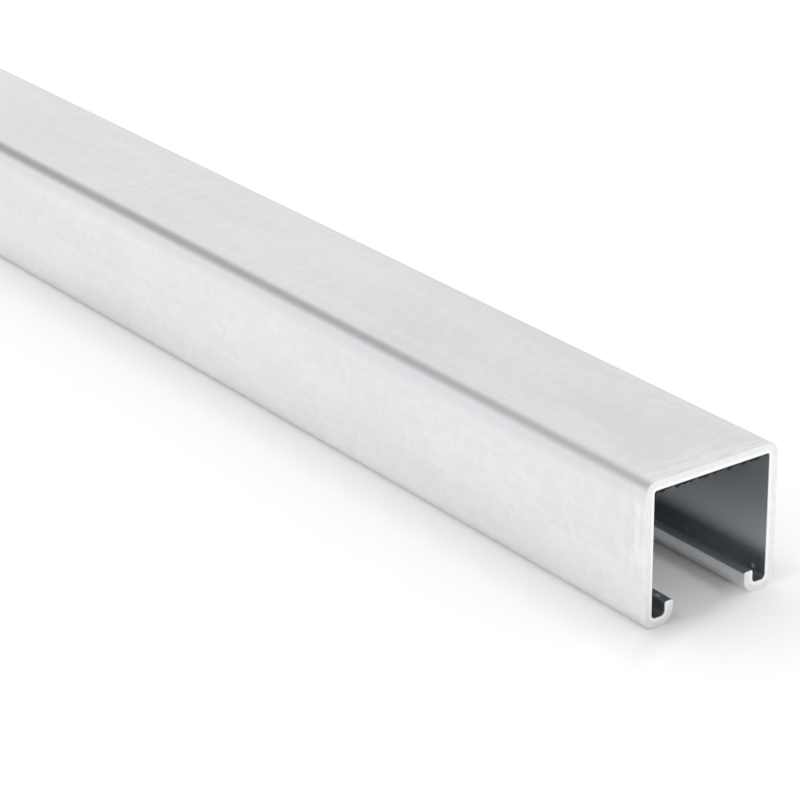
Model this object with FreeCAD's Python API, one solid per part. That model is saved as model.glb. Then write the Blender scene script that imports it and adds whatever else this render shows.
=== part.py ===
# Plain galvanized steel channel: one strip roll-formed into a box that is open along a slot, with both
# edges turned in and hooked back up as lips.
#
# Row frame in millimetres: +X along the stock, +Y across it, +Z up out of the back. The origin is under the
# middle of the stock, on the plane that the two lips stand on, so the slot faces down.
import FreeCAD, Part
import os
from math import sin, tan

# Driving dimensions
LENGTH = 1000.0          # a stock length
WIDTH = 41.0             # over the outsides of the two walls
HEIGHT = 38.6            # from the feet of the lips to the outside of the back
STRIP = 2.7              # thickness of the strip, the same all round
BACK_BEND = 0.7          # inside radius of the two bends between the back and the walls
LIP_BEND = 1.1           # inside radius of the four bends that turn in and hook the lips
LIP_POCKET = 3.9         # clear gap between a wall and its hooked lip
LIP_HEIGHT = 6.1         # from a lip's foot up to its edge
EDGE_ROUND = 0.6         # corner radius on the strip's two slit edges

# Planes of the +Y half of the section, as distances from the middle and from the feet
WALL_OUTSIDE = WIDTH / 2
WALL_INSIDE = WALL_OUTSIDE - STRIP
LIP_POCKET_FACE = WALL_INSIDE - LIP_POCKET
LIP_SLOT_FACE = LIP_POCKET_FACE - STRIP
BACK_INSIDE = HEIGHT - STRIP


def half_section():
    """Sharp corners of the +Y half, as (y, z, bend radius), once round from the back's outer corner."""
    return [
        (WALL_OUTSIDE, HEIGHT, BACK_BEND + STRIP),
        (WALL_OUTSIDE, 0, LIP_BEND + STRIP),
        (LIP_SLOT_FACE, 0, LIP_BEND + STRIP),
        (LIP_SLOT_FACE, LIP_HEIGHT, EDGE_ROUND),
        (LIP_POCKET_FACE, LIP_HEIGHT, EDGE_ROUND),
        (LIP_POCKET_FACE, STRIP, LIP_BEND),
        (WALL_INSIDE, STRIP, LIP_BEND),
        (WALL_INSIDE, BACK_INSIDE, BACK_BEND),
    ]


def whole_section():
    """The +Y half, followed by its mirror image taken backwards, so the corners still run once round."""
    half = half_section()
    mirrored = [(-y, z, radius) for y, z, radius in reversed(half)]
    return half + mirrored


def bend(before, corner, after, radius):
    """The arc of the given radius that is tangent to both sides of a sharp corner."""
    to_before = (before - corner).normalize()
    to_after = (after - corner).normalize()
    half_angle = to_before.getAngle(to_after) / 2
    setback = radius / tan(half_angle)
    start = corner + to_before * setback
    end = corner + to_after * setback
    bisector = (to_before + to_after).normalize()
    middle = corner + bisector * (radius / sin(half_angle) - radius)
    return Part.Arc(start, middle, end).toShape()


def rounded_outline(corners, x):
    """Closed wire at station x: an arc at each corner, and straight runs from each arc to the next."""
    points = [FreeCAD.Vector(x, y, z) for y, z, radius in corners]
    following = points[1:] + points[:1]
    edges = []
    for i, (corner, after) in enumerate(zip(points, following)):
        edges.append(bend(points[i - 1], corner, after, corners[i][2]))
    runs = []
    for i, arc in enumerate(edges):
        runs.append(Part.LineSegment(edges[i - 1].lastVertex().Point, arc.firstVertex().Point).toShape())
    return Part.Wire([edge for pair in zip(runs, edges) for edge in pair])


def channel():
    """The section at the -X end, carried straight along the stock."""
    section = Part.Face(rounded_outline(whole_section(), -LENGTH / 2))
    return section.extrude(FreeCAD.Vector(LENGTH, 0, 0))


os.makedirs("parts", exist_ok=True)
solid = channel()
solid.exportStep("parts/channel.step")
print("channel: valid", solid.isValid(), "volume_mm3", round(solid.Volume, 1), "box", solid.BoundBox)
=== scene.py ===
# %% [markdown]
# # A length of galvanized steel channel
#
# The object is one strip of galvanized steel, bent lengthwise by rollers into a square box that is open along
# a slot, with both edges of the strip turned in and hooked back up. It lies on its two lips with its sawn end
# towards us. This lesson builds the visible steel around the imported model, which already has the true size,
# then gives it its zinc, its sawn ends, a floor, some light and a camera.

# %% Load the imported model
import math

import bpy
import numpy as np
from mathutils import Matrix, Vector


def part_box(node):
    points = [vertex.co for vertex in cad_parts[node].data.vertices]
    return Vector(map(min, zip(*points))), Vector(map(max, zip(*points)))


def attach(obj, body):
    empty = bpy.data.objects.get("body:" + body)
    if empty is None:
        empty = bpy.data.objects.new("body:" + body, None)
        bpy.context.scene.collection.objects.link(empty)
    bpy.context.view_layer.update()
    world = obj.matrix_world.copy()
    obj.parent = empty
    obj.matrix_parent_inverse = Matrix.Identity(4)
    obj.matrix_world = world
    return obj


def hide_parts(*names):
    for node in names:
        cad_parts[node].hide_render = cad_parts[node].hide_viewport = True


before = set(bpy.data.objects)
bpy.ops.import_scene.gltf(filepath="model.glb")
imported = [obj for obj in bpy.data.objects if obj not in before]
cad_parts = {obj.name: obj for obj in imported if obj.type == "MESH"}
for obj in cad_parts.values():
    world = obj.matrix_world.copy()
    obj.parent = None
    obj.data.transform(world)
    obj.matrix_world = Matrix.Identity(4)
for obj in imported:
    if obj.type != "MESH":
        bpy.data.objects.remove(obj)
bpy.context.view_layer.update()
low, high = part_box("channel")
LENGTH, WIDTH, HEIGHT = high - low
print(f"channel box {LENGTH:.3f} x {WIDTH:.3f} x {HEIGHT:.3f} m")

# %% [markdown]
# ## The section, as the roller sees it
#
# A roll former doesn't draw a section: it takes a flat strip and turns it through a set angle at set places.
# The shape is worked out the same way here. Going across the strip from one slit edge to the other there are
# seven flats and six bends, and every bend turns the same way through 90 degrees. So the heading of the
# strip's middle line is a straight function of the distance across it, and adding up the headings gives the
# line. This keeps the wall exactly as thick in the bends as on the flats.

# %% Sizes of the section
MM = 0.001
STRIP = 2.7 * MM                 # thickness of the strip
BACK_BEND = 0.7 * MM             # inside radius beside the back
LIP_BEND = 1.1 * MM              # inside radius of the bends that hook the lips
LIP_POCKET = 3.9 * MM            # clear gap between a wall and its lip
LIP_HEIGHT = 6.1 * MM            # from a lip's foot to its edge
EDGE_ROUND = 0.6 * MM            # corner radius of the slit edges

back_radius = BACK_BEND + STRIP / 2
lip_radius = LIP_BEND + STRIP / 2
lip_flat = LIP_HEIGHT - LIP_BEND - STRIP
foot_flat = LIP_POCKET - 2 * LIP_BEND
wall_flat = HEIGHT - LIP_BEND - BACK_BEND - 2 * STRIP
back_flat = WIDTH - 2 * (BACK_BEND + STRIP)
print(f"flats: lip {lip_flat / MM:.1f}, foot {foot_flat / MM:.1f}, wall {wall_flat / MM:.1f}, "
      f"back {back_flat / MM:.1f} mm")

# %% [markdown]
# Each run across the strip is a length and an angle turned in it. Points are about 0.6 mm apart, fine enough
# for the burr that a saw leaves, and closer in the bends, where the surface turns.

# %% Runs across the strip
quarter = math.pi / 2
FLAT_STEP = 0.6 * MM             # distance between points on a flat
BEND_STEPS = 12                  # steps in a bend
EDGE_POINTS = 6                  # points packed into the rounding of each slit edge
SUM_STEPS = 8000                 # steps of the running sum that gives the middle line


def flat(length):
    """A run with no turn: its length, 0, and how many steps it takes."""
    return length, 0, int(round(length / FLAT_STEP))


def bend(radius):
    """A run of a quarter circle: its length along the middle line, the turn, and its steps."""
    return radius * quarter, quarter, BEND_STEPS


half_runs = [flat(lip_flat), bend(lip_radius), flat(foot_flat), bend(lip_radius), flat(wall_flat),
             bend(back_radius)]
runs = half_runs + [flat(back_flat)] + half_runs[::-1]
run_lengths = np.array([length for length, turn, steps in runs])
run_turns = np.array([turn for length, turn, steps in runs])
run_ends = np.concatenate([[0], np.cumsum(run_lengths)])
STRIP_WIDTH = run_ends[-1]
print(f"the flat strip is {STRIP_WIDTH / MM:.1f} mm wide")


def across_strip():
    """Distances across the strip: each run in equal steps, with extra ones packed towards both slit edges."""
    steps = [np.linspace(start, end, count, endpoint=False)
             for start, end, (length, turn, count) in zip(run_ends, run_ends[1:], runs)]
    near_edge = EDGE_ROUND * (1 - np.cos(np.linspace(0, quarter, EDGE_POINTS)))
    return np.unique(np.concatenate(steps + [near_edge, STRIP_WIDTH - near_edge]).round(9))


def middle_line(s):
    """Middle line of the bent strip at distances s: heading = -90 degrees plus the angle turned so far, and
    the point is the running sum of (cos heading, sin heading) times the step, from the +Y lip's edge."""
    fine = np.unique(np.concatenate([np.linspace(0, STRIP_WIDTH, SUM_STEPS + 1), run_ends, s]))
    turned = np.concatenate([[0], np.cumsum(run_turns)])
    centres = (fine[1:] + fine[:-1]) / 2
    heading = np.interp(centres, run_ends, turned) - quarter
    step = np.diff(fine)
    y = np.concatenate([[0], np.cumsum(step * np.cos(heading))])
    z = np.concatenate([[0], np.cumsum(step * np.sin(heading))])
    start_y = WIDTH / 2 - STRIP - LIP_POCKET - STRIP / 2
    at = np.interp(s, run_ends, turned) - quarter
    return start_y + np.interp(s, fine, y), LIP_HEIGHT + np.interp(s, fine, z), at


s_line = across_strip()
y_line, z_line, heading_line = middle_line(s_line)
print("section", len(s_line), "points, last at", round(y_line[-1] / MM, 3), round(z_line[-1] / MM, 3), "mm")

# %% [markdown]
# ## From section to steel
#
# The outline runs along the outside of the strip and comes back along its inside, so a point of the skin is
# the middle line plus or minus half the thickness along the line's normal. Two small things keep it from
# looking like a drawing. The slit edges are rounded, and near each sawn end the skin draws in by a fifth of
# a millimetre, as a file leaves it. Both are one formula: a quarter circle that takes the skin in near an
# edge.

# %% Rounded edges
END_ROUND = 0.18 * MM            # what the deburring file takes off each sawn edge


def drawn_in(distance, radius):
    """How far the skin lies inside its true place at a distance from an edge: r - sqrt(r2 - (r - d)2)."""
    inside = np.clip(radius - distance, 0, radius)
    return radius - np.sqrt(radius**2 - inside**2)


# %% [markdown]
# The file reaches the outside of the cut but not the inside. The saw comes out under the back, so a torn
# ridge of burr is left hanging there. Its height across the strip is a few waves of unlike length added up.
# Along the stock it starts at nothing in the plane of the cut, hangs lowest a third of a millimetre in, and
# is gone after three millimetres.

# %% Burr inside the sawn ends
BURR_HEIGHT = 1.3 * MM           # full height of the ridge
BURR_REACH = 0.35 * MM           # distance from the cut to the lowest place
BURR_FADE = 2 * MM               # how soon it ends beside the flat of the back
BURR_WAVES = (2.3 * MM, 4.1 * MM, 7.3 * MM)
BURR_MEAN, BURR_SWING = 0.6, 0.4             # shares of the full height


def burr(s, end_gap):
    """Share of the burr's full height: mean + swing * (average of the sines) across the strip, under the
    back only, times u exp(1 - u) along the stock, with u = distance / reach."""
    waves = np.mean([np.sin(2 * np.pi * s / length + turn) for turn, length in enumerate(BURR_WAVES)], axis=0)
    past_back = np.abs(s - STRIP_WIDTH / 2) - back_flat / 2
    under_back = np.clip(1 - past_back / BURR_FADE, 0, 1)
    u = end_gap / BURR_REACH
    return ((BURR_MEAN + BURR_SWING * waves) * under_back)[None, :] * (u * np.exp(1 - u))[:, None]


print(f"burr at most {BURR_HEIGHT * burr(s_line, np.array([BURR_REACH])).max() / MM:.2f} mm high")

# %% [markdown]
# Along the stock nothing changes but the ends, so the rows of points are far apart in the middle and crowd
# together where the file and the burr are.

# %% Stations along the stock
MILL_STEP = 12.5 * MM            # distance between stations in the middle
BURR_ZONE = 8 * MM               # length at each end with closer stations
FILE_STATIONS = 5
BURR_STATIONS = 9


def along_stock():
    """Stations: the file's quarter circle, a geometric series over the burr zone, then even steps."""
    filed = END_ROUND * (1 - np.cos(np.linspace(0, quarter, FILE_STATIONS)))
    burred = np.geomspace(2 * END_ROUND, BURR_ZONE, BURR_STATIONS)
    even = np.linspace(BURR_ZONE, LENGTH - BURR_ZONE, int(LENGTH / MILL_STEP))[1:-1]
    near = np.concatenate([filed, burred])
    return np.concatenate([near, even, (LENGTH - near)[::-1]]) + low.x


def skin(x, s, y, z, heading):
    """Grid of points, station by outline: middle line + side * (half thickness - drawn in) * normal, with
    the burr added to the inside."""
    edge_gap = np.minimum(s, STRIP_WIDTH - s)
    end_gap = np.minimum(x - low.x, high.x - x)
    half = STRIP / 2 - drawn_in(edge_gap, EDGE_ROUND)[None, :] - drawn_in(end_gap, END_ROUND)[:, None]
    half_inside = half + BURR_HEIGHT * burr(s, end_gap)
    normal_y = np.sin(heading)
    normal_z = -np.cos(heading)
    stations = np.broadcast_to(x[:, None], half.shape)
    outside = np.stack([stations, y + half * normal_y, z + half * normal_z], 2)
    inside = np.stack([stations, y - half_inside * normal_y, z - half_inside * normal_z], 2)
    return np.concatenate([outside, inside[:, ::-1]], 1)


x_line = along_stock()
grid = skin(x_line, s_line, y_line, z_line, heading_line)
print("grid of", grid.shape[0], "stations by", grid.shape[1], "points round the outline")

# %% [markdown]
# The grid closes on itself round the outline. Its two ends are capped by ladders of quads between the
# outside and the inside of the strip, because the strip's section is a bent ribbon and not a fan. The mesh
# also remembers which points are on the inside of the section, and where the burr is, for the finish.

# %% Mesh of the channel
def remember(mesh, name, values):
    """Stores one number for each point of the mesh."""
    attribute = mesh.attributes.new(name, "FLOAT", "POINT")
    attribute.data.foreach_set("value", np.asarray(values, dtype=np.float32).ravel())


def channel_mesh(points, count):
    """Quads (i, j), (i+1, j), (i+1, j+1), (i, j+1) round the outline, then the two end ladders."""
    rows, columns = points.shape[:2]
    number = np.arange(rows * columns).reshape(rows, columns)
    following = np.roll(number, -1, axis=1)
    sides = np.stack([number[:-1], number[1:], following[1:], following[:-1]], 2).reshape(-1, 4)
    outer = np.arange(count)
    inner = columns - 1 - outer
    first = np.stack([outer[:-1], outer[1:], inner[1:], inner[:-1]], 1)
    last = first[:, ::-1] + (rows - 1) * columns
    mesh = bpy.data.meshes.new("channel_steel")
    faces = np.concatenate([sides, first, last])
    mesh.from_pydata(points.reshape(-1, 3).tolist(), [], faces.tolist())
    mesh.shade_smooth()
    remember(mesh, "sheltered", np.tile(np.arange(columns) >= count, rows))
    return mesh


steel_mesh = channel_mesh(grid, len(s_line))
ridge = burr(s_line, np.minimum(x_line - low.x, high.x - x_line))
remember(steel_mesh, "torn", np.concatenate([np.zeros_like(ridge), ridge[:, ::-1]], 1))
steel = bpy.data.objects.new("steel_channel", steel_mesh)
bpy.context.scene.collection.objects.link(steel)
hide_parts("channel")
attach(steel, "root")
print("faces", len(steel_mesh.polygons))

# %% [markdown]
# ## Writing shaders as sums
#
# A finish is easier to read as a formula than as a web of wires. So one small class wraps a node's output and
# gives it the signs of arithmetic, and every sign adds one Math node. All other nodes come from one function
# that takes the node's type, its settings and what goes into its sockets, but for the last node of each tree,
# which gives nothing on.

# %% Nodes as expressions
class Signal:
    """A node's output that can be used in sums: each operator adds one Math node to the same tree."""

    def __init__(self, socket):
        self.socket = socket
        self.tree = socket.id_data

    def math(self, operation, first, second=0.0):
        return add_node(self.tree, "ShaderNodeMath", {"operation": operation}, {0: first, 1: second})

    def __add__(self, other):
        return self.math("ADD", self, other)

    def __radd__(self, other):
        return self.math("ADD", other, self)

    def __sub__(self, other):
        return self.math("SUBTRACT", self, other)

    def __rsub__(self, other):
        return self.math("SUBTRACT", other, self)

    def __mul__(self, other):
        return self.math("MULTIPLY", self, other)

    def __rmul__(self, other):
        return self.math("MULTIPLY", other, self)

    def __abs__(self):
        return self.math("ABSOLUTE", self)

    def max(self, other):
        return self.math("MAXIMUM", self, other)


def add_node(tree, kind, settings, sockets, output=0):
    """Adds one node: its settings first, then a value or a link for each socket, and returns one output."""
    node = tree.nodes.new(kind)
    for name, value in settings.items():
        setattr(node, name, value)
    for key, value in sockets.items():
        if isinstance(value, Signal):
            tree.links.new(value.socket, node.inputs[key])
        else:
            node.inputs[key].default_value = value
    return Signal(node.outputs[output])


def new_material(name):
    """A material with an empty node tree, and that tree."""
    material = bpy.data.materials.new(name)
    material.use_nodes = True
    material.node_tree.nodes.clear()
    return material, material.node_tree


# %% [markdown]
# A finish is a few patterns laid over one another, so the same steps keep coming back, and each gets a name
# here. A noise can be drawn out along the stock, as rolling draws out every mark. A ramp turns a distance
# into a share between 0 and 1. A blend mixes two colours by such a share, and a second one mixes two
# surfaces.

# %% Helpers for finishes
def noise(tree, place, scale, stretch=(1, 1, 1), detail=3.0):
    """Smooth noise with the given features per metre, drawn out along each axis by a stretch."""
    squeeze = tuple(1 / value for value in stretch)
    moved = add_node(tree, "ShaderNodeVectorMath", {"operation": "MULTIPLY"}, {0: place, 1: squeeze})
    sockets = {"Vector": moved, "Scale": scale, "Detail": detail}
    return add_node(tree, "ShaderNodeTexNoise", {}, sockets, "Fac")


def ramp(tree, value, low_value, high_value, low_out=0.0, high_out=1.0):
    """Value carried smoothly from one range to another and held at its ends."""
    return add_node(tree, "ShaderNodeMapRange", {"interpolation_type": "SMOOTHSTEP"}, {
        0: value, 1: low_value, 2: high_value, 3: low_out, 4: high_out})


def blend(tree, factor, first, second):
    """Colour mixed from first to second by a factor."""
    return add_node(tree, "ShaderNodeMix", {"data_type": "RGBA"}, {0: factor, 6: first, 7: second}, 2)


def mix_shader(tree, factor, first, second):
    """Surface or sky mixed from first to second by a factor."""
    return add_node(tree, "ShaderNodeMixShader", {}, {0: factor, 1: first, 2: second})


def separate(tree, vector):
    """X, Y and Z of a vector."""
    return [add_node(tree, "ShaderNodeSeparateXYZ", {}, {0: vector}, axis) for axis in "XYZ"]


def ray(tree, kind):
    """What the light path says about the ray being shaded, such as 1 for a camera ray and 0 for others."""
    return add_node(tree, "ShaderNodeLightPath", {}, {}, kind)


def use_surface(tree, surface, kind="ShaderNodeOutputMaterial"):
    """Adds the tree's last node and sends a finished surface, or a sky, to it."""
    output = tree.nodes.new(kind)
    tree.links.new(surface.socket, output.inputs["Surface"])


# %% [markdown]
# ## Zinc
#
# Hot-dipped strip is bare metal under a thin skin of zinc crystals, so it shines like a mirror that has been
# breathed on. On a casting the crystals show as a bold spangle. On rolled strip they have been pressed nearly
# flat, and what is left is a faint cloudiness, fine streaks laid along the stock by the rollers, a soft
# grain, and grey freckles where the zinc has dulled. Each is one pattern, and the clouds and streaks are
# drawn out along the stock. They move the colour and the roughness by a few hundredths, and together they
# keep the reflection alive without any one of them being seen.

# %% Zinc pattern
ZINC_PALE = (0.855, 0.857, 0.866, 1)
ZINC_GREY = (0.775, 0.780, 0.792, 1)
CRYSTALS_PER_METRE = 420
TONE_RANGE = (0.32, 0.68)        # from where the zinc is grey to where it is pale

zinc, tree = new_material("galvanized_steel")
place = add_node(tree, "ShaderNodeTexCoord", {}, {}, "Object")
clouds = noise(tree, place, 55, stretch=(4, 1, 1))
streaks = noise(tree, place, 650, stretch=(80, 1, 1), detail=2.0)
grain = noise(tree, place, 2600, detail=2.0)
cells = add_node(tree, "ShaderNodeTexVoronoi", {}, {"Vector": place, "Scale": CRYSTALS_PER_METRE}, "Color")
crystals = add_node(tree, "ShaderNodeSeparateColor", {}, {0: cells}, "Red")
tone = clouds * 0.5 + streaks * 0.2 + crystals * 0.12 + grain * 0.18
colour = blend(tree, ramp(tree, tone, *TONE_RANGE), ZINC_GREY, ZINC_PALE)

# %% [markdown]
# Inside the section the zinc is painted darker and blue-green, as painted shade for the dim inside of the
# channel. The mesh remembers which of its points are inside, and one attribute tells the two faces of the
# strip apart.

# %% Painted shade on the inside
# Painted shade: the inside of the section is coloured darker and blue-green.
INSIDE_PAINTED_SHADE = (0.745, 0.795, 0.820, 1)
INSIDE_PAINTED_SHADE_SHARE = 0.85               # how far it hides the zinc's own colour

inside = add_node(tree, "ShaderNodeAttribute", {"attribute_name": "sheltered"}, {}, "Fac")
colour = blend(tree, inside * INSIDE_PAINTED_SHADE_SHARE, colour, INSIDE_PAINTED_SHADE)

# %% [markdown]
# At the cut, the two pockets behind the lips are painted dark, as painted shade in these deep recesses. The
# painted shade is the product of four shares, so it lies only where all four hold: clear of the wall's face,
# below the lip's edge, near the cut and on the inside.

# %% Painted shade in the lip pockets
POCKET_PAINTED_SHADE = (0.25, 0.27, 0.29, 1)
POCKET_SHADE_SHARE = 0.7
POCKET_SHADE_FULL, POCKET_SHADE_END = 5 * MM, 14 * MM      # distances from the cut
POCKET_SHADE_SOFT = 1 * MM              # how gently it ends at the wall and at the lip's edge

along, across, height = separate(tree, place)
off_middle = abs(across)
from_cut = LENGTH / 2 - abs(along)
wall_face = WIDTH / 2 - STRIP
clear_of_wall = ramp(tree, off_middle, wall_face, wall_face - POCKET_SHADE_SOFT)
low_down = ramp(tree, height, LIP_HEIGHT + POCKET_SHADE_SOFT, LIP_HEIGHT - POCKET_SHADE_SOFT)
near_cut_share = ramp(tree, from_cut, POCKET_SHADE_END, POCKET_SHADE_FULL)
# Painted shade: the pockets behind the lips are coloured dark near the cut.
colour = blend(tree, clear_of_wall * low_down * near_cut_share * inside * POCKET_SHADE_SHARE, colour, POCKET_PAINTED_SHADE)

# %% [markdown]
# The burr is painted near-black, as painted shade along the inner edge of the cut, but for a few nicks left
# in its own colour. The mesh remembers how high the burr stands, so the colour follows its ragged edge.

# %% Burr painted dark as shade
BURR_PAINTED_SHADE = (0.02, 0.02, 0.025, 1)
BURR_SHADE_START, BURR_SHADE_FULL = 0.02, 0.12         # shares of the burr's full height
NICKS_PER_METRE = 700
NICK_RANGE = (0.64, 0.70)        # noise above this is a nick

torn = add_node(tree, "ShaderNodeAttribute", {"attribute_name": "torn"}, {}, "Fac")
nicks = ramp(tree, noise(tree, place, NICKS_PER_METRE), *NICK_RANGE)
# Painted shade: the burr is coloured near-black under the cut's inner edge.
colour = blend(tree, ramp(tree, torn, BURR_SHADE_START, BURR_SHADE_FULL) * (1 - nicks), colour, BURR_PAINTED_SHADE)

# %% [markdown]
# Dross is specks of zinc and iron from the bath, frozen on as beads, and the inside has kept a few. A Voronoi
# pattern gives each place its distance from the nearest of many scattered points, so a bead is wherever that
# distance is small.

# %% Dross beads
DROSS = (0.90, 0.90, 0.90, 1)
DROSS_PER_METRE = 130
DROSS_SHIFT = (0.013, 0.004, 0.007)          # slides the pattern under the steel
BEAD_EDGE, BEAD_TOP = 0.15, 0.10             # distances from a bead's middle, in cells

shifted = add_node(tree, "ShaderNodeVectorMath", {"operation": "ADD"}, {0: place, 1: DROSS_SHIFT})
beads = {"Vector": shifted, "Scale": DROSS_PER_METRE}
bead_gap = add_node(tree, "ShaderNodeTexVoronoi", {}, beads, "Distance")
dross = ramp(tree, bead_gap, BEAD_EDGE, BEAD_TOP) * inside
colour = blend(tree, dross, colour, DROSS)

# %% [markdown]
# The outside has been rubbed a little brighter by handling. The upper part of each wall is scuffed in patches
# within a finger's width of the cut.

# %% Scuffs beside the cut
SCUFF = (0.93, 0.94, 0.94, 1)
SCUFF_SHARE = 0.65
SCUFF_REACH = 12 * MM            # distance from the cut where they end
SCUFF_FOOT, SCUFF_FULL = 8 * MM, 20 * MM     # heights on the wall between which they set in
SCUFF_RANGE = (0.42, 0.62)       # noise above this is a patch

patchy = ramp(tree, noise(tree, place, 260, stretch=(0.5, 3, 3)), *SCUFF_RANGE)
upper = ramp(tree, height, SCUFF_FOOT, SCUFF_FULL)
scuffs = ramp(tree, from_cut, 0.0, SCUFF_REACH, 1.0, 0.0) * patchy * upper * (1 - inside)
colour = blend(tree, scuffs * SCUFF_SHARE, colour, SCUFF)

# %% [markdown]
# The outside of the two tight bends beside the back is painted a little greyer, a painted dark reflection
# that widens the dark line which these corners mirror. That fades out a few millimetres down the wall, and
# twice as soon on the back. The distance from the corner is the larger of the distances from its two faces,
# so one ramp serves the bend and both flats.

# %% Painted dark line along the corners
CORNER_PAINTED_SHADE = (0.69, 0.695, 0.72, 1)
CORNER_SHADE_SHARE = 0.6
CORNER_SHADE_START, CORNER_SHADE_END = 3.4 * MM, 7.5 * MM  # distances from the corner, down the wall

below_back = HEIGHT - height
in_from_wall = WIDTH / 2 - off_middle
off_corner = below_back.max(in_from_wall * 2)
painted_corner_shade = ramp(tree, off_corner, CORNER_SHADE_START, CORNER_SHADE_END, 1.0, 0.0) * (1 - inside)
# Painted dark reflection: the corners and the top of the walls are coloured greyer.
colour = blend(tree, painted_corner_shade * CORNER_SHADE_SHARE, colour, CORNER_PAINTED_SHADE)

# %% [markdown]
# Roughness says how far a reflection is blurred, and relief tilts the surface a little, so that the light
# breaks up on it. Both are weighted sums of the same patterns as the colour. So a cloudy place is duller as
# well as paler, a scuff is smoother than what surrounds it, and a bead of dross stands up.

# %% Roughness and relief
RELIEF_DEPTH = 0.03 * MM         # height of the tallest marks
ZINC_RELIEF = 0.12               # how much of that depth the light sees

rough = 0.33 + clouds * 0.07 + streaks * 0.03 + crystals * 0.02 - scuffs * 0.06
relief = streaks * 0.4 + grain * 0.3 + crystals * 0.1 + dross * 1.5
bump = add_node(tree, "ShaderNodeBump", {}, {
    "Strength": ZINC_RELIEF, "Distance": RELIEF_DEPTH, "Height": relief})
zinc_surface = add_node(tree, "ShaderNodeBsdfPrincipled", {}, {
    "Base Color": colour, "Metallic": 1 - dross * 0.6, "Roughness": rough, "Normal": bump})
use_surface(tree, zinc_surface)
steel_mesh.materials.append(zinc)
print("zinc made of", len(tree.nodes), "nodes")

# %% [markdown]
# ## Sawn ends
#
# The saw goes through the zinc to bright new steel, and its teeth leave fine parallel lines up and down the
# cut. The noise for them is drawn out along the height of the section, so it makes lines and not dots. The
# inner rim of the cut is painted white, a painted highlight along the inside edge. Each end's faces run from
# the outside of the strip to its inside, so the mesh's own memory of the inside places the painted highlight.

# %% Sawn steel
SAWN_DULL = (0.82, 0.82, 0.83, 1)
SAWN_BRIGHT = (0.93, 0.93, 0.93, 1)
RIM_HIGHLIGHT = (1.0, 1.0, 1.0, 1)
SHINE_RANGE = (0.3, 0.7)         # from dull to bright
SAWN_RELIEF = 0.3
RIM_START, RIM_FULL = 0.55, 0.9  # shares of the way from the strip's outside to its inside

sawn, tree = new_material("sawn_steel")
place = add_node(tree, "ShaderNodeTexCoord", {}, {}, "Object")
saw_lines = noise(tree, place, 2600, stretch=(1, 1, 9), detail=2.0)
stains = noise(tree, place, 400)
shine = ramp(tree, saw_lines * 0.6 + stains * 0.4, *SHINE_RANGE)
towards_inside = add_node(tree, "ShaderNodeAttribute", {"attribute_name": "sheltered"}, {}, "Fac")
# Painted highlight: the inner rim of each cut is coloured white.
painted_rim_highlight = ramp(tree, towards_inside, RIM_START, RIM_FULL)
cut_colour = blend(tree, painted_rim_highlight, blend(tree, shine, SAWN_DULL, SAWN_BRIGHT), RIM_HIGHLIGHT)
saw_bump = add_node(tree, "ShaderNodeBump", {}, {
    "Strength": SAWN_RELIEF, "Distance": RELIEF_DEPTH, "Height": saw_lines})
sawn_surface = add_node(tree, "ShaderNodeBsdfPrincipled", {}, {
    "Base Color": cut_colour, "Metallic": 1.0, "Roughness": 0.38 + stains * 0.08, "Normal": saw_bump})
use_surface(tree, sawn_surface)
steel_mesh.materials.append(sawn)

ladder_faces = 2 * (len(s_line) - 1)
finish = np.zeros(len(steel_mesh.polygons), dtype=np.int32)
finish[-ladder_faces:] = 1
steel_mesh.polygons.foreach_set("material_index", finish)
print("sawn faces", ladder_faces)

# %% [markdown]
# ## Floor
#
# A bright metal shows nothing but its surroundings, so the floor is half of its finish. It is a wide sheet of
# white paper that glows a little to the camera and in reflections. The glow is taken away beside the walls,
# in front of the cuts and under the section, which is painted shade on the paper, and the shadow that the
# stock casts stays as well. Between the lips a share of the glow is left for a hand's length, painted light
# where light gets in at the end. In front of a cut the painted shade fades on a slightly slanting line, so it
# is a little deeper on the -Y side.

# %% Paper floor
WHITE = (1, 1, 1, 1)
PAPER = (0.95, 0.95, 0.95, 1)
FLOOR_REACH = 40.0               # half the sheet's side, in metres
FLOOR_GLOW = 0.287
CLOSE_SHADE = (-8 * MM, 4 * MM)  # distances past the wall between which the closer shade fades
WIDE_SHADE = (0.0, 17 * MM)      # the same for the wider one
CLOSE_SHARE = 0.6                # how much of the glow the closer shade takes
CUT_SHADE = (-8 * MM, 8 * MM)    # distances past the cut between which the shade in front fades
CUT_SLANT = 0.2                  # how far that line slants for each metre across
SLOT_HALF = WIDTH / 2 - 2 * STRIP - LIP_POCKET
SLOT_SHADE = (SLOT_HALF - 5 * MM, SLOT_HALF - 1 * MM)
SLOT_GLOW = 0.45                 # share of the glow that is left between the lips, just inside the end
SLOT_LIGHT = (-210 * MM, -45 * MM)           # distances past the cut between which light gets in

floor_mesh = bpy.data.meshes.new("floor")
corners = [(-FLOOR_REACH, -FLOOR_REACH, 0), (FLOOR_REACH, -FLOOR_REACH, 0), (FLOOR_REACH, FLOOR_REACH, 0),
           (-FLOOR_REACH, FLOOR_REACH, 0)]
floor_mesh.from_pydata(corners, [], [(0, 1, 2, 3)])
floor = bpy.data.objects.new("studio_floor", floor_mesh)
bpy.context.scene.collection.objects.link(floor)

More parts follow.
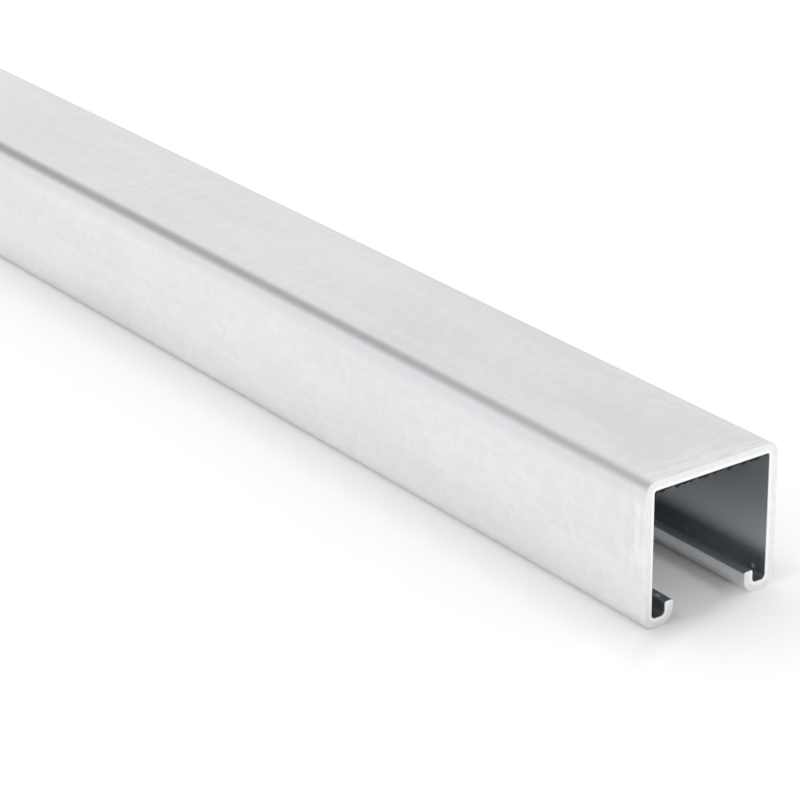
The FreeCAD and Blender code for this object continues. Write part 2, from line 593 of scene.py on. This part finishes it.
paper, tree = new_material("floor_paper")
seen = ray(tree, "Is Camera Ray").max(ray(tree, "Is Glossy Ray"))
along, across = separate(tree, add_node(tree, "ShaderNodeTexCoord", {}, {}, "Object"))[:2]
past_end = abs(along) - LENGTH / 2
past_wall = abs(across) - WIDTH / 2
close = ramp(tree, past_wall, *CLOSE_SHADE)
wide = ramp(tree, past_wall, *WIDE_SHADE)
beside = close * CLOSE_SHARE + wide * (1 - CLOSE_SHARE)
before = ramp(tree, past_end + across * CUT_SLANT, *CUT_SHADE)
in_slot = ramp(tree, abs(across), *SLOT_SHADE, SLOT_GLOW, 0.0)
let_in = in_slot * ramp(tree, past_end, *SLOT_LIGHT)
# Painted shade: the glow is taken away near the stock, and a share is left between the lips as painted light.
open_floor = beside.max(before).max(let_in)
plain = add_node(tree, "ShaderNodeBsdfDiffuse", {}, {"Color": PAPER})
glow = add_node(tree, "ShaderNodeEmission", {}, {"Color": WHITE, "Strength": FLOOR_GLOW})
glowing = add_node(tree, "ShaderNodeAddShader", {}, {0: plain, 1: glow})
use_surface(tree, mix_shader(tree, seen * open_floor, plain, glowing))
floor_mesh.materials.append(paper)
print("floor", 2 * FLOOR_REACH, "m wide")

# %% [markdown]
# ## Light
#
# One soft white tent lights the stock from every side, a little more from the left, where the big window
# would be. There is no lamp, because the bend would show it as a hard line. What the zinc reflects is a
# second view of the tent, even all round, in which dark flags hang. Two of them, one on each side, are
# mirrored by the rounded corners between the back and the walls as a soft dark line along the stock. Two
# weaker ones shade the flat of the back, so that it parts from the walls.

# %% Tent
TENT_TINT = (1.0, 0.972, 0.978, 1)
FILL = 0.71                      # light from the whole tent
WINDOW = 0.32                    # what the window adds to it
SPILL = 0.5                      # how much of the tent the steel passes on to the floor

# Azimuth, elevation, inner and outer half angle in degrees, then the share of the light that it takes.
CORNER_FLAGS = [(196, 24, 3, 34, 0.67), (20, 42, 3, 30, 0.66)]
BACK_FLAGS = [(128, 32, 5, 32, 0.13), (312, 16, 12, 58, 0.24)]
WINDOW_PATCH = (225, 40, 10, 60)

world = bpy.data.worlds.new("studio")
bpy.context.scene.world = world
world.use_nodes = True
tree = world.node_tree
tree.nodes.clear()
direction = add_node(tree, "ShaderNodeTexCoord", {}, {}, "Generated")


def patch(azimuth, elevation, inner, outer):
    """1 within inner degrees of a direction, falling to 0 at outer degrees."""
    a, e = math.radians(azimuth), math.radians(elevation)
    aim = (math.cos(a) * math.cos(e), math.sin(a) * math.cos(e), math.sin(e))
    settings = {"operation": "DOT_PRODUCT"}
    near = add_node(tree, "ShaderNodeVectorMath", settings, {0: direction, 1: aim}, "Value")
    return ramp(tree, near, math.cos(math.radians(outer)), math.cos(math.radians(inner)))


def sky(colour, strength):
    """An even sky of one colour."""
    return add_node(tree, "ShaderNodeBackground", {}, {"Color": colour, "Strength": strength})


flagged = sum(patch(*place) * share for *place, share in CORNER_FLAGS + BACK_FLAGS)
spill = ramp(tree, ray(tree, "Diffuse Depth"), 0.0, 1.0, 1.0, SPILL)
mirrored = mix_shader(tree, (1 - flagged) * spill, sky(WHITE, 0.0), sky(TENT_TINT, 1.0))
fill = mix_shader(tree, patch(*WINDOW_PATCH), sky(WHITE, FILL), sky(WHITE, FILL + WINDOW))
lit = mix_shader(tree, ray(tree, "Is Glossy Ray"), fill, mirrored)
tent = mix_shader(tree, ray(tree, "Is Camera Ray"), lit, sky(WHITE, 1.0))
use_surface(tree, tent, "ShaderNodeOutputWorld")
print("tent made of", len(tree.nodes), "nodes")

# %% [markdown]
# ## Camera
#
# A long lens looks down on the near end from the slot's left. The direction from the stock to the camera is
# set by an azimuth, turned from the end's own direction, and an elevation. Three unit vectors, right, up and
# back, make the camera's rotation, after a small roll.

# %% Camera
CAMERA_AZIMUTH = math.radians(54.18)
CAMERA_ELEVATION = math.radians(23.59)
CAMERA_ROLL = math.radians(-0.594)
CAMERA_DISTANCE = 0.74026        # metres from the point it looks at
CAMERA_LENS = 139.62             # millimetres
AIM = Vector((high.x - 0.05927, -0.04734, 0.04619))

a, e, roll = CAMERA_AZIMUTH, CAMERA_ELEVATION, CAMERA_ROLL
back = Vector((math.sin(a) * math.cos(e), -math.cos(a) * math.cos(e), math.sin(e)))
right = Vector((math.cos(a), math.sin(a), 0))
up = back.cross(right)
rolled_right = right * math.cos(roll) + up * math.sin(roll)
rolled_up = up * math.cos(roll) - right * math.sin(roll)
turn = Matrix((rolled_right, rolled_up, back)).transposed().to_4x4()

camera = bpy.data.objects.new("camera", bpy.data.cameras.new("camera"))
bpy.context.scene.collection.objects.link(camera)
camera.matrix_world = Matrix.Translation(AIM + back * CAMERA_DISTANCE) @ turn
camera.data.lens = CAMERA_LENS
camera.data.clip_start = 0.01
camera.data.clip_end = 100
bpy.context.scene.camera = camera
bpy.context.scene.view_settings.view_transform = "Standard"
print("camera at", [round(value, 4) for value in camera.matrix_world.translation])
